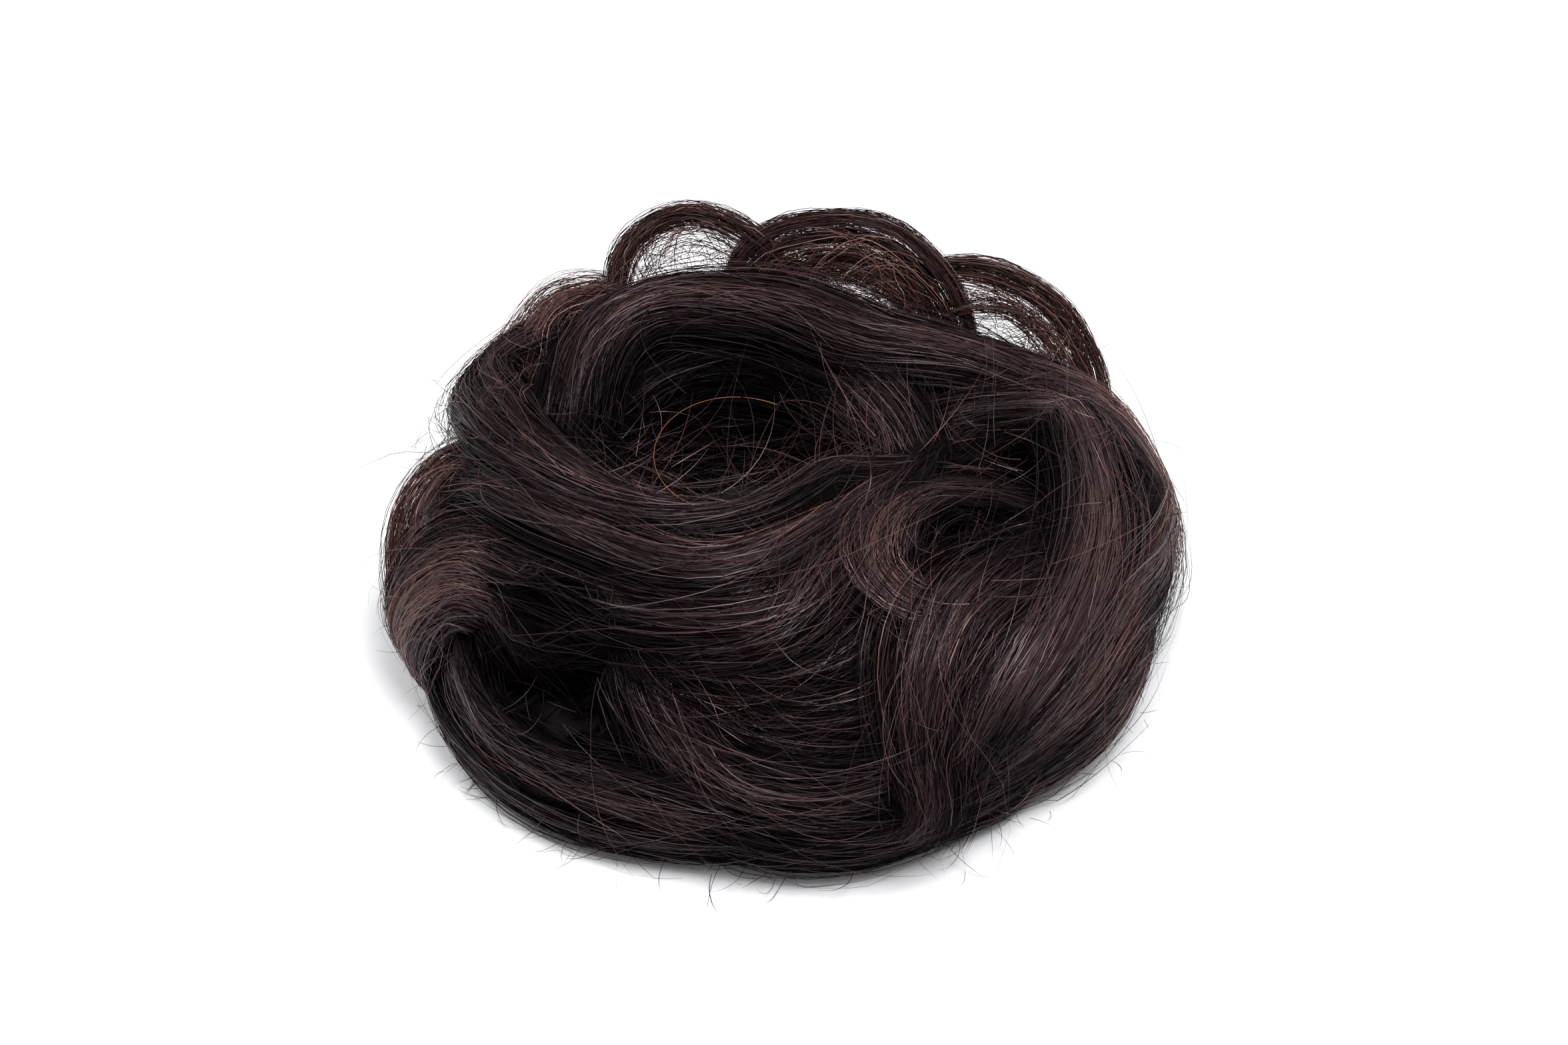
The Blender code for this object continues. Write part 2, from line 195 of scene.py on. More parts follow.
def skin(grid, shade, closed):
    """A body under the hairs: a grid of points joined into quads."""
    rows, columns = grid.shape[:2]
    over = columns if closed else columns - 1
    i, j = np.meshgrid(np.arange(rows - 1), np.arange(over), indexing="ij")
    nxt = (j + 1) % columns
    quads = np.stack([i * columns + j, i * columns + nxt,
                      (i + 1) * columns + nxt, (i + 1) * columns + j], -1).reshape(-1, 4)
    chart = np.stack(np.broadcast_arrays(shade[None, :], np.linspace(0, 1, rows)[:, None]), -1)
    return grid.reshape(-1, 3), quads, chart.reshape(-1, 2)


def join(name, finish, parts):
    """One piece from several sets of points, quads and charts."""
    start, points, quads, charts = 0, [], [], []
    for part_points, part_quads, part_chart in parts:
        points.append(part_points)
        quads.append(part_quads + start)
        charts.append(part_chart)
        start += len(part_points)
    return quad_mesh(name, finish, np.concatenate(points), np.concatenate(quads),
                     np.concatenate(charts))


ON_AXIS = -1.0
# Painted shade: soft dark patches laid into the hair's colour in the hole, the hollows and the
# valleys between the locks.
SHADED_HOLLOWS = (
    # bearing, reach, rise, half width across and upright, darkness
    (0, ON_AXIS, 0.55, 0.0170, 0.0140, 0.50),
    (60, 0.06, 0.90, 0.0160, 0.0085, 0.80),
    (120, 0.10, 0.90, 0.0160, 0.0085, 0.70),
    (170, 0.26, 0.90, 0.0110, 0.0080, 0.70),
    (-119, 0.73, 0.64, 0.0155, 0.0140, 0.99),
    (-126, 0.79, 0.74, 0.0090, 0.0080, 0.95),
    (-39, 0.57, 0.92, 0.0120, 0.0110, 0.96),
    (-9, 0.50, 0.90, 0.0145, 0.0130, 0.95),
    (-21, 1.02, 0.50, 0.0080, 0.0050, 0.80),
    (-47, 0.99, 0.30, 0.0080, 0.0050, 0.70),
    (-88, 0.98, 0.26, 0.0080, 0.0050, 0.60),
    (-100, 0.62, 0.84, 0.0060, 0.0050, 0.75),
    (-89, 0.62, 0.84, 0.0060, 0.0050, 0.70),
    (-79, 0.61, 0.84, 0.0060, 0.0050, 0.55),
    (-37, 0.78, 0.70, 0.0065, 0.0065, 0.90),
    (-47, 0.86, 0.64, 0.0065, 0.0065, 0.90),
    (-56, 0.96, 0.54, 0.0065, 0.0065, 0.90),
    (-77, 0.80, 0.72, 0.0050, 0.0050, 0.60),
    (-76, 0.93, 0.54, 0.0050, 0.0050, 0.60))


def light_in(points):
    """Painted shade: the share of the light that gets to points, less in the hole and the hollows,
    by which the hairs' colour is darkened.
    """
    share = 1.0
    for bearing, reach, rise, across, upright, dark in SHADED_HOLLOWS:
        if reach == ON_AXIS:
            centre = hole_axis + (0, 0, rise * BUN_RISE)
        else:
            centre = place(bearing, reach, rise)
        apart = (points - centre) / (across, across, upright)
        share = share * (1 - dark * np.exp(-np.sum(apart ** 2, -1)))
    return share


ROLL_CORE = (0.5, 0.4)
LOWEST_ROLL = 0.0003


def roll_point(bearing, around, lift):
    """Points on the roll: a bearing, a share of the way round its section, and a lift."""
    steps = np.diff(ROLL_SECTION, axis=0)
    lengths = np.concatenate([[0], np.cumsum(np.linalg.norm(steps, axis=1))])
    share = lengths / lengths[-1]
    reach = np.interp(around, share, ROLL_SECTION[:, 0])
    rise = np.interp(around, share, ROLL_SECTION[:, 1])
    rise = rise * (1 + BACK_RISE * np.sin(np.radians(bearing)))
    spot = place(bearing, reach, rise)
    away = unit(spot - place(bearing, *ROLL_CORE))
    spot = spot + away * lift[..., None]
    for *pocket, size in POCKETS:
        apart = spot - place(*pocket)
        deep = -np.sum(apart * away, -1)
        beyond = np.sum(apart ** 2, -1) - (size * LOCK_WIDTH) ** 2
        sink = -deep + np.sqrt(np.maximum(deep ** 2 - beyond, 0))
        spot = spot - away * np.where(beyond < 0, sink, 0)[..., None]
    spot[..., 2] = np.maximum(spot[..., 2], LOWEST_ROLL)
    return spot, away


BODY_GRID = (129, 49)
BODY_DEPTH = 0.0008
BODY_TONES = (0.0, 0.04)
TEASED_HAIRS = 3100
TEASED_POINTS = 13
TEASED_SWEEP = (30, 80)
TEASED_LIFT = (-0.0004, 0.0012)
TEASED_WIDTH = 0.00016
rng = np.random.default_rng(11)
bearings = np.linspace(0, 360, BODY_GRID[0])[:, None]
rounds = np.linspace(0, 1, BODY_GRID[1])[None]
grid = roll_point(bearings, rounds, np.full(BODY_GRID, -BODY_DEPTH))[0]
# Its body is painted near black: painted shade under the hairs.
body = skin(grid, rng.uniform(*BODY_TONES, BODY_GRID[1]), False)

each = (TEASED_HAIRS, 1)
share = np.linspace(0, 1, TEASED_POINTS)[None]
start = rng.uniform(0, 360, each)
sweep = rng.uniform(*TEASED_SWEEP, each)
drift = rng.normal(0, 0.05, each)
swing = rng.normal(0, 0.008, each)
waves = np.sin(2 * math.pi * (share * rng.uniform(0.8, 2.0, each) + rng.uniform(0, 1, each)))
rounds = rng.uniform(0.0, 1.0, each) + drift * (share - 0.5) + swing * waves
rounds = np.clip(rounds, 0, 1)
lift = np.broadcast_to(rng.uniform(*TEASED_LIFT, each), rounds.shape)
paths, facing = roll_point(start + sweep * share, rounds, lift)
ways = unit(facing + rng.normal(0, 0.7, (TEASED_HAIRS, 1, 3)))
widths = np.full(rounds.shape, TEASED_WIDTH)
# Painted shade: the roll's hairs are darker in the hole and the hollows.
tone = rng.beta(2.0, 4.0, each) * light_in(paths)
roll = join("hair_roll_hair", teased_finish, [body, ribbons(paths, ways, widths, tone)])
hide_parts("hair_roll")
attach(roll, "root")


# Elastic band. A round cord of rubber threads in a woven black sleeve, joined into a
# ring. The hair is sewn round it, and it shows only in the hole and from below.

WEAVE_SCALE = 420.0
WEAVE_HEIGHT = 0.0002
SLEEVE_DARK = (0.006, 0.0055, 0.0055, 1)
SLEEVE_LIGHT = (0.024, 0.022, 0.021, 1)
SLEEVE_ROUGHNESS = (0.7, 0.9)
band_finish = bpy.data.materials.new("woven_elastic")
band_finish.use_nodes = True
nodes, links = band_finish.node_tree.nodes, band_finish.node_tree.links
shader = nodes["Principled BSDF"]
spot = nodes.new("ShaderNodeTexCoord")
weave = nodes.new("ShaderNodeTexWave")
weave.wave_type = "BANDS"
weave.bands_direction = "DIAGONAL"
weave.inputs["Scale"].default_value = WEAVE_SCALE
weave.inputs["Distortion"].default_value = 1.0
links.new(spot.outputs["Object"], weave.inputs["Vector"])
tint = nodes.new("ShaderNodeValToRGB")
tint.color_ramp.elements[0].color = SLEEVE_DARK
tint.color_ramp.elements[1].color = SLEEVE_LIGHT
links.new(weave.outputs["Fac"], tint.inputs["Fac"])
links.new(tint.outputs["Color"], shader.inputs["Base Color"])
rough = nodes.new("ShaderNodeMapRange")
rough.inputs["To Min"].default_value = SLEEVE_ROUGHNESS[0]
rough.inputs["To Max"].default_value = SLEEVE_ROUGHNESS[1]
links.new(weave.outputs["Fac"], rough.inputs["Value"])
links.new(rough.outputs["Result"], shader.inputs["Roughness"])
raised = nodes.new("ShaderNodeBump")
raised.inputs["Strength"].default_value = 0.6
raised.inputs["Distance"].default_value = WEAVE_HEIGHT
links.new(weave.outputs["Fac"], raised.inputs["Height"])
links.new(raised.outputs["Normal"], shader.inputs["Normal"])
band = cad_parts["elastic_band"]
band.data.materials.clear()
band.data.materials.append(band_finish)


# Locks over the crown, round the hole and into it. Flat wefts of wavy hair, one lock
# each, combed by hand and pinned down on the roll, the ends tucked under the next lock.

HAIR_WIDTH = 0.000115
HAIR_GLOSS = 0.50
hair = hair_finish("hair", (
    (0.0020, 0.0014, 0.0018), (0.0066, 0.0040, 0.0048), (0.0150, 0.0082, 0.0094),
    (0.0300, 0.0155, 0.0175), (0.0560, 0.0280, 0.0300), (0.1010, 0.0460, 0.0430),
    (0.1700, 0.0820, 0.0580)), HAIR_GLOSS)
CROWN_LOCKS = (
    # name, width, thickness, hairs, shade from start to end (the hair's tone together with
    # painted light and shade along the lock), free end, share of straying hairs, stations
    # of bearing, reach and rise
    ("crown_lock", 0.95, 1.00, 1000, (0.50, 0.44), False, 0.16,
     ((173, 0.38, 0.92), (134, 0.46, 1.06), (92, 0.26, 1.10), (41, 0.24, 1.06),
      (19, 0.56, 0.96), (11, 0.88, 0.76))),
    ("crown_inner", 1.00, 1.00, 760, (0.05, 0.62), False, 0.20,
     ((144, 0.22, 0.90), (106, 0.16, 0.92), (61, 0.12, 0.92), (18, 0.14, 0.92),
      (-13, 0.22, 0.90))),
    ("hole_lock", 0.60, 0.75, 300, (0.10, 0.14), False, 0.20,
     ((165, 0.18, 0.82), (140, 0.10, 0.66), (99, 0.08, 0.56), (41, 0.10, 0.62),
      (3, 0.16, 0.74))),
    ("curl_right", 1.00, 1.00, 640, (0.46, 0.34), False, 0.25,
     ((-22, 0.30, 0.88), (-6, 0.40, 0.90), (3, 0.56, 0.84), (0, 0.70, 0.70),
      (-11, 0.70, 0.66), (-22, 0.72, 0.62))),
)

CURVE_STEPS = 12
GUIDE_POINTS = 61
LINE_POINTS = 81
LOCK_CORE = (0.52, 0.35)
TUCK = (
    # how far on past the lock's end, how far up
    (0.0025, -0.0006), (0.0050, -0.0020), (0.0080, -0.0050))


def smooth(stations):
    """Stations joined by a Catmull-Rom curve."""
    rows = np.array(stations, float)
    rows = np.vstack([2 * rows[0] - rows[1], rows, 2 * rows[-1] - rows[-2]])
    t = np.linspace(0, 1, CURVE_STEPS, endpoint=False)[:, None]
    curve = []
    for a, b, c, d in zip(rows, rows[1:], rows[2:], rows[3:]):
        curve.append(0.5 * (2 * b + (c - a) * t + (2 * a - 5 * b + 4 * c - d) * t ** 2
                            + (3 * b - a - 3 * c + d) * t ** 3))
    return np.vstack([*curve, rows[-2:-1]])


def evenly(line, count):
    """The same line with evenly spaced points, and its length."""
    run = np.concatenate([[0], np.cumsum(np.linalg.norm(np.diff(line, axis=0), axis=1))])
    at = np.linspace(0, run[-1], count)
    return np.stack([np.interp(at, run, line[:, k]) for k in range(3)], -1), run[-1]


def follow(values, at, t):
    """Values given at the shares at of a line, read at each hair's own shares t."""
    return np.stack([np.interp(t, at, values[:, k]) for k in range(3)], -1)


def lock_guide(stations, around):
    """A lock's middle line, its length, and what finds its side and outward directions."""
    line, length = evenly(place(*smooth(stations).T), GUIDE_POINTS)
    feet = (line[0] + line[-1]) / 2

    def facing(points):
        """Forward, side and outward directions of a line."""
        run = unit(np.gradient(points, axis=0))
        if around == "roll":
            flat = points - hole_axis
            bearing = np.degrees(np.arctan2(flat[:, 1], flat[:, 0]))
            away = points - place(bearing, *LOCK_CORE)
        else:
            away = points - feet
        side = unit(np.cross(run, away))
        return run, side, unit(np.cross(side, run))

    return line, length, facing


def tucked_ends(line, facing):
    """Points that carry a line on at either end, down under its neighbours."""
    run, _, away = facing(line)
    head = [line[0] - run[0] * on + away[0] * up for on, up in TUCK[::-1]]
    tail = [line[-1] + run[-1] * on + away[-1] * up for on, up in TUCK]
    return head, tail


HOLLOW_CLEARANCE = 0.62
HOLLOW_REACH = 1.6
OVAL_POWER = 2.7


def part_round_hollow(paths, away):
    """Hairs that would cross the left hollow pass beside it."""
    *hollow, size = POCKETS[0]
    apart = paths - place(*hollow)
    sideways = apart - np.sum(apart * away, -1, keepdims=True) * away
    near = np.linalg.norm(sideways, axis=-1, keepdims=True)
    clear = HOLLOW_CLEARANCE * size * LOCK_WIDTH
    close = np.linalg.norm(apart, axis=-1, keepdims=True) < HOLLOW_REACH * clear
    push = np.where(close, np.maximum(clear - near, 0), 0)
    return paths + sideways / np.maximum(near, 1e-6) * push


def flat_oval(turn):
    """Across and up shares of a lock's section: an oval with a flat top."""
    cosine, sine = np.cos(turn), np.sin(turn)
    flat = (np.abs(cosine) ** OVAL_POWER + np.abs(sine) ** OVAL_POWER) ** (-1 / OVAL_POWER)
    return cosine * flat, sine * flat


LOCK_TIP = 0.45
TAPER_SHARE = 0.25
BODY_ROWS = slice(4, 77, 3)
BODY_POINTS = 16
BODY_WIDTH = 0.80
BODY_THICKNESS = 0.78
LOCK_BODY_TONES = (0.0, 0.06)
FREE_FROM = 0.6
FREE_NARROWING = (0.9, 1.6)
RIB_ARC = (-0.16, 1.16)
RIBS_LEAST = 14
RIBS_A_WIDTH = 10
RIB_TONE = 0.13
RIB_REACH = 0.05
HAIR_POINTS = (9, 22)
BEND_A_POINT = 14
END_SPREAD = 0.32
SHORT_SHARE = 0.16
SHORT_START = (0.05, 0.65)
SHORT_LENGTH = (0.20, 0.38)
HAIR_SPREAD = 1.10
STRAY_REACH = (0.05, 0.35)
STRAY_ASIDE = 0.0030
SPLAY_FROM = 0.7
WISP_ASIDE = (0.0032, 0.0012)
WISP_UP = (0.0016, 0.0006)
LOWEST_HAIR = 0.0002
EDGE_DARK = 0.85
UNDERSIDE_LIGHT = 0.10
TUCKED_LIGHT = 0.12


def hair_lock(name, width, thickness, hairs, shade, free, straying, stations):
    """A lock of hair: a near-black body of painted shade under ribs of fine hairs that run along
    it.
    """
    rng = np.random.default_rng(zlib.crc32(name.encode()))
    line, _, facing = lock_guide(stations, "roll")
    head, tail = tucked_ends(line, facing)
    line = np.vstack([head, line] if free else [head, line, tail])
    line = evenly(line, LINE_POINTS)[0]
    run, side, away = facing(line)
    at = np.linspace(0, 1, LINE_POINTS)
    ease = np.sin(np.clip(np.minimum(at, 1 - at) / TAPER_SHARE, 0, 1) * math.pi / 2)
    size = LOCK_TIP + (1 - LOCK_TIP) * ease
    wide, thick = width * LOCK_WIDTH / 2, thickness * LOCK_THICKNESS / 2

    # The body, which closes the lock under its hairs, painted near black as the shade in the lock's
    # depths.
    across, up = flat_oval(np.linspace(0, 2 * math.pi, BODY_POINTS, endpoint=False))
    girth = size[BODY_ROWS, None]
    grid = (line[BODY_ROWS, None]
            + side[BODY_ROWS, None] * (BODY_WIDTH * wide * girth * across)[..., None]
            + away[BODY_ROWS, None] * (BODY_THICKNESS * thick * girth * up)[..., None])
    if free:
        grid[-4:] = grid[-5].mean(0) + (grid[-4:] - grid[-4:].mean(1, keepdims=True)) * 0.1
    grid = part_round_hollow(grid, away[BODY_ROWS, None])
    body = skin(grid, rng.uniform(*LOCK_BODY_TONES, BODY_POINTS), True)

    # The ribs: bunches of hairs with one place, one wave and one shade.
    spread = 1.0 + 0.22 * (1 - ease)
    rise = 0.45 + 0.55 * ease
    low, high = RIB_ARC
    if free:
        spread = np.where(at > FREE_FROM, 1 - (at - FREE_FROM) * FREE_NARROWING[0], spread)
        rise = np.where(at > FREE_FROM, 1 - (at - FREE_FROM) * FREE_NARROWING[1], rise)
    ribs = int(RIBS_LEAST + RIBS_A_WIDTH * width)
    rib_at = (np.arange(ribs) + rng.uniform(0.1, 0.9, ribs)) / ribs
    rib_turn = (low + (high - low) * rib_at) * math.pi
    rib_tone = rng.normal(0, RIB_TONE, ribs)
    rib_reach = rng.normal(0, RIB_REACH, ribs)
    rib = rng.integers(0, ribs, hairs)

    # The stretch of the lock that each hair runs along, with more points round a bend.
    bend = np.degrees(np.arccos(np.clip(np.sum(run[1:] * run[:-1], -1), -1, 1))).sum()
    points = int(np.clip(bend / BEND_A_POINT + 5, *HAIR_POINTS))
    first = rng.beta(1.0, 4.0, hairs) * END_SPREAD
    last = 1 - rng.beta(1.0, 4.0, hairs) * END_SPREAD
    short = rng.random(hairs) < SHORT_SHARE
    first = np.where(short, rng.uniform(*SHORT_START, hairs), first)
    last = np.where(short, np.minimum(first + rng.uniform(*SHORT_LENGTH, hairs), 1), last)
    share = np.linspace(0, 1, points)[None]
    t = first[:, None] + (last - first)[:, None] * share

    # Where round the lock's section a hair lies, and how far out from its middle line.
    waves = np.sin(2 * math.pi * (rng.uniform(0.4, 1.3, ribs)[rib][:, None] * t
                                  + rng.random(ribs)[rib][:, None]))
    own = np.sin(2 * math.pi * (rng.uniform(0.6, 2.0, (hairs, 1)) * t + rng.random((hairs, 1))))
    slip = rng.normal(0, 0.08, (hairs, 1))
    cross = rng.normal(0, 0.22, (hairs, 1)) + np.where(
        rng.random((hairs, 1)) < 0.25, rng.normal(0, 1.0, (hairs, 1)), 0)
    turn = rib_turn[rib][:, None] + 0.16 * waves + slip + 0.09 * own + cross * (t - 0.5)
    turn = np.clip(turn, (low - 0.1) * math.pi, (high + 0.1) * math.pi)
    reach = (1.0 + rib_reach[rib][:, None] - 0.9 * slip ** 2 - 0.22 * rng.random((hairs, 1)) ** 2
             + 0.04 * np.sin(2 * math.pi * (t * 1.5 + rng.random((hairs, 1)))))
    loose = rng.random((hairs, 1)) < straying
    arch = np.sin(math.pi * share)
    reach = reach + np.where(loose, rng.uniform(*STRAY_REACH, (hairs, 1)) * arch, 0)
    reach = reach + np.where(short[:, None], rng.uniform(0.0, 0.30, (hairs, 1)) * share ** 2, 0)
    astray = np.where(loose, rng.normal(0, STRAY_ASIDE, (hairs, 1)), 0) * arch

    side_t, away_t = follow(side, at, t), follow(away, at, t)
    across, up = flat_oval(turn)
    offset = HAIR_SPREAD * reach * wide * np.interp(t, at, spread) * across + astray
    height = reach * thick * np.interp(t, at, rise) * up
    paths = follow(line, at, t) + side_t * offset[..., None] + away_t * height[..., None]
    if free:
        splay = np.clip((t - SPLAY_FROM) / 0.3, 0, 1)[..., None] ** 2
        wisp = rng.normal(0, WISP_ASIDE[0], ribs)[rib] + rng.normal(0, WISP_ASIDE[1], hairs)
        flick = rng.normal(0, WISP_UP[0], ribs)[rib] + rng.normal(0, WISP_UP[1], hairs)
        paths = paths + splay * (side_t * wisp[:, None, None] + away_t * flick[:, None, None])
    paths = part_round_hollow(paths, away_t)
    paths[..., 2] = np.maximum(paths[..., 2], LOWEST_HAIR)
    ways = unit(side_t * np.cos(turn)[..., None] + away_t * np.sin(turn)[..., None]
                + rng.normal(0, 0.8, (hairs, 1, 3)))
    tip = np.clip((1.04 - share) / 0.15, 0.2, 1)
    broad = HAIR_WIDTH * rng.uniform(0.7, 1.3, (hairs, 1)) * tip

    # Its shade: the tone from start to end, with painted shade that makes it darker at the
    # lock's edges, underneath, at tucked ends and in hollows.
    tone = (rng.beta(1.3, 2.1, (hairs, 1)) + rib_tone[rib][:, None] - 0.42 + 0.15 * loose
            + 1.12 * (shade[0] + (shade[1] - shade[0]) * t))
    crest = np.where(up > 0, 1 - EDGE_DARK * np.abs(across) ** 2.4, UNDERSIDE_LIGHT)
    shown = np.where(free & (t > 0.5), 1, np.interp(t, at, ease))
    tucked = TUCKED_LIGHT + (1 - TUCKED_LIGHT) * shown
    tone = np.clip(tone, 0.02, 0.98) * crest * tucked * light_in(paths)
    piece = join(name + "_hair", hair, [body, ribbons(paths, ways, broad, tone)])
    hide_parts(name)
    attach(piece, "root")


for row in CROWN_LOCKS:
    hair_lock(*row)


# Sweeps across the front of the hole. Four long locks of the same wavy hair, sewn on at
# the left and pinned down side by side under the hole, their ends under the falling lock.

SWEEP_LOCKS = (
    # rows as in CROWN_LOCKS
    ("sweep_inner", 1.00, 1.00, 1150, (0.34, 0.36), False, 0.16,
     ((126, 0.78, 0.92), (143, 0.93, 0.88), (157, 0.98, 0.80), (177, 0.68, 0.88),
      (202, 0.46, 0.94), (232, 0.32, 0.94), (266, 0.18, 0.90), (311, 0.08, 0.92),
      (343, 0.28, 0.92))),
    ("sweep_mid", 1.00, 1.00, 1000, (0.36, 0.40), False, 0.16,
     ((178, 0.88, 0.64), (200, 0.62, 0.86), (230, 0.50, 0.96), (261, 0.46, 0.96),
      (291, 0.30, 0.96), (332, 0.22, 0.96))),
    ("sweep_outer", 1.10, 1.00, 1050, (0.46, 0.36), False, 0.16,
     ((-174, 0.96, 0.50), (-154, 0.72, 0.74), (-130, 0.62, 0.86), (-105, 0.60, 0.90),
      (-80, 0.52, 0.92), (-54, 0.34, 0.92))),
    ("mid_fall", 1.00, 0.75, 620, (0.46, 0.28), False, 0.25,
     ((-33, 0.24, 0.98), (-57, 0.32, 1.02), (-73, 0.48, 1.00), (-86, 0.64, 0.92),
      (-100, 0.68, 0.86))),
)
for row in SWEEP_LOCKS:
    hair_lock(*row)


# Swirls of the front. Broad wavy locks, curled with an iron, that come out of the left
# pocket and round the front of the bun, and the flat locks that close it at the table.

FRONT_LOCKS = (
    # rows as in CROWN_LOCKS
    ("front_swirl", 1.15, 1.00, 820, (0.06, 0.24), False, 0.14,
     ((-113, 0.58, 0.82), (-103, 0.70, 0.78), (-91, 0.74, 0.76), (-79, 0.72, 0.78),
      (-68, 0.66, 0.82), (-56, 0.56, 0.82))),
    ("front_swirl_low", 1.25, 1.00, 820, (0.10, 0.28), False, 0.14,
     ((-105, 0.72, 0.70), (-95, 0.80, 0.68), (-85, 0.84, 0.64), (-74, 0.84, 0.64),
      (-64, 0.78, 0.62))),
    ("front_under", 1.10, 1.00, 800, (0.20, 0.26), False, 0.12,
     ((-112, 0.64, 0.80), (-104, 0.82, 0.66), (-95, 0.92, 0.50), (-83, 0.96, 0.44),
      (-72, 0.94, 0.42), (-60, 0.88, 0.42))),
    ("curl_left", 1.30, 1.00, 820, (0.80, 0.94), False, 0.14,
     ((-131, 0.72, 0.60), (-139, 0.72, 0.70), (-147, 0.82, 0.72), (-152, 0.94, 0.60),
      (-154, 1.02, 0.42), (-154, 1.00, 0.22))),
    ("rim_left", 1.00, 1.00, 700, (0.34, 0.26), False, 0.12,
     ((-143, 0.90, 0.42), (-130, 0.96, 0.36), (-117, 0.96, 0.34), (-104, 0.96, 0.36),
      (-92, 0.94, 0.30))),
    ("rim_front", 0.95, 1.10, 700, (0.12, 0.12), False, 0.10,
     ((-102, 0.84, 0.22), (-89, 0.94, 0.22), (-76, 0.96, 0.20), (-63, 0.92, 0.20),
      (-50, 0.92, 0.22))),
    ("rim_right", 0.85, 0.85, 600, (0.26, 0.36), False, 0.12,
     ((-60, 0.89, 0.16), (-49, 0.93, 0.22), (-38, 0.96, 0.26), (-28, 0.96, 0.34),
      (-19, 0.93, 0.44))),
    ("rim_left_low", 0.75, 1.00, 600, (0.18, 0.18), False, 0.10,
     ((-149, 0.96, 0.22), (-133, 0.98, 0.16), (-117, 0.98, 0.14), (-102, 0.94, 0.14),
      (-87, 0.94, 0.20))),
)
for row in FRONT_LOCKS:
    hair_lock(*row)


# Falls of the right side and the tail. Two long locks that turn over from the crown and
# run down the right side, the small curl beside them, and the tail that is let out over
# the front with its ends left loose.

RIGHT_LOCKS = (
    # rows as in CROWN_LOCKS
    ("tail_lock", 1.15, 1.00, 1150, (0.52, 0.22), True, 0.30,
     ((-30, 0.70, 0.82), (-42, 0.68, 0.90), (-54, 0.70, 0.90), (-63, 0.80, 0.80),
      (-67, 0.92, 0.60), (-67, 1.03, 0.38), (-70, 1.04, 0.22))),
    ("tail_side", 0.80, 0.90, 520, (0.44, 0.40), False, 0.25,
     ((-27, 0.80, 0.74), (-40, 0.76, 0.80), (-51, 0.80, 0.74), (-59, 0.90, 0.58),
      (-62, 0.96, 0.36))),
    ("curl_eye", 0.70, 0.75, 460, (0.58, 0.72), False, 0.45,
     ((-23, 0.60, 0.88), (-31, 0.48, 0.98), (-42, 0.40, 1.04), (-56, 0.42, 1.06),
      (-64, 0.54, 1.02), (-60, 0.66, 0.94), (-50, 0.64, 0.90))),
    ("fall_inner", 1.00, 1.00, 960, (0.92, 0.56), False, 0.25,
     ((2, 0.42, 0.96), (6, 0.72, 0.88), (-9, 0.76, 0.82), (-25, 0.80, 0.80),
      (-39, 0.84, 0.76), (-52, 0.90, 0.66), (-62, 0.94, 0.38))),
    ("fall_outer", 1.10, 1.10, 980, (0.88, 0.66), False, 0.25,
     ((19, 0.66, 0.92), (12, 0.92, 0.74), (0, 1.00, 0.52), (-14, 0.94, 0.52),
      (-29, 0.90, 0.58), (-43, 0.92, 0.50), (-57, 0.94, 0.40))),
)
for row in RIGHT_LOCKS:
    hair_lock(*row)


# Locks of the back. Three plain broad locks of the same hair, laid against the roll and
# sewn down at both ends, so that little of the base shows from behind.

BACK_LOCKS = (
    # rows as in CROWN_LOCKS
    ("back_fall", 1.15, 1.00, 720, (0.36, 0.36), False, 0.15,
     ((158, 0.78, 0.72), (130, 0.76, 0.74), (100, 0.74, 0.76), (70, 0.76, 0.74),
      (42, 0.80, 0.68))),
    ("rim_back_left", 1.10, 1.00, 700, (0.30, 0.30), False, 0.12,
     ((205, 0.96, 0.22), (180, 0.98, 0.34), (155, 0.98, 0.30), (130, 0.96, 0.26),
      (102, 0.96, 0.20))),
    ("rim_back_right", 1.10, 1.00, 700, (0.30, 0.30), False, 0.12,
     ((108, 0.94, 0.34), (80, 0.98, 0.30), (52, 0.98, 0.28), (24, 0.96, 0.24),
      (-8, 0.98, 0.20))),
)
for row in BACK_LOCKS:
    hair_lock(*row)
